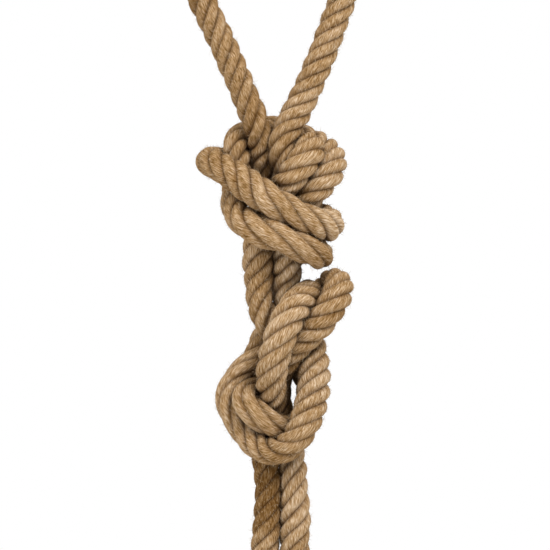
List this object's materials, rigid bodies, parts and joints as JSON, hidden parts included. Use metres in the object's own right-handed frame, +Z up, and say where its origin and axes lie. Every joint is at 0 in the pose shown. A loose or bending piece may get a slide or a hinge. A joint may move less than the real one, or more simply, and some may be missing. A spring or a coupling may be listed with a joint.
{
  "type": "rope hammock hanger",
  "caption": "Knotted twin-rope hanging end of a rope hammock, with thimble eyes for the hanging pins and a steel ring below that the hammock clips to.",
  "frame": {"origin": "midway between the two hanging pins, on the line through the centres of the two upper thimbles", "axes": "+Z up along the hanging line, +X to the right seen from the front, +Y to the back; the pins run along Y"},
  "size_m": [0.1674, 0.0668, 0.5527],
  "materials": {
    "rope": "rough natural jute fibre, laid in four strands",
    "thimble": "galvanised",
    "seizing": "tight natural twine",
    "ring": "satin"
  },
  "bodies": {
    "hanger": {"rope_left_top": "rope", "rope_right_top": "rope", "thimble_top_left": "thimble", "thimble_top_right": "thimble", "seizing_top_left": "seizing", "seizing_top_right": "seizing"},
    "lower_knot": {"rope_left_knot": "rope", "rope_right_knot": "rope"},
    "tails": {"rope_left_tail": "rope", "rope_right_tail": "rope", "thimble_bottom_left": "thimble", "thimble_bottom_right": "thimble", "seizing_bottom_left": "seizing", "seizing_bottom_right": "seizing"},
    "ring": {"ring": "ring"}
  },
  "joints": [
    {"name": "knot_swing", "type": "hinge", "parent": "hanger", "child": "lower_knot", "pos_m": [0, 0, -0.208], "axis": [1, 0, 0], "range_deg": [-20, 20], "stiffness_Nm_per_rad": 0.05},
    {"name": "tail_swing", "type": "hinge", "parent": "lower_knot", "child": "tails", "pos_m": [0, 0, -0.3376], "axis": [1, 0, 0], "range_deg": [-30, 30], "stiffness_Nm_per_rad": 0.03},
    {"name": "ring_swing", "type": "hinge", "parent": "tails", "child": "ring", "pos_m": [0.00272, 0.0083, -0.44038], "axis": [1, 0, 0], "range_deg": [-75, 75]}
  ]
}
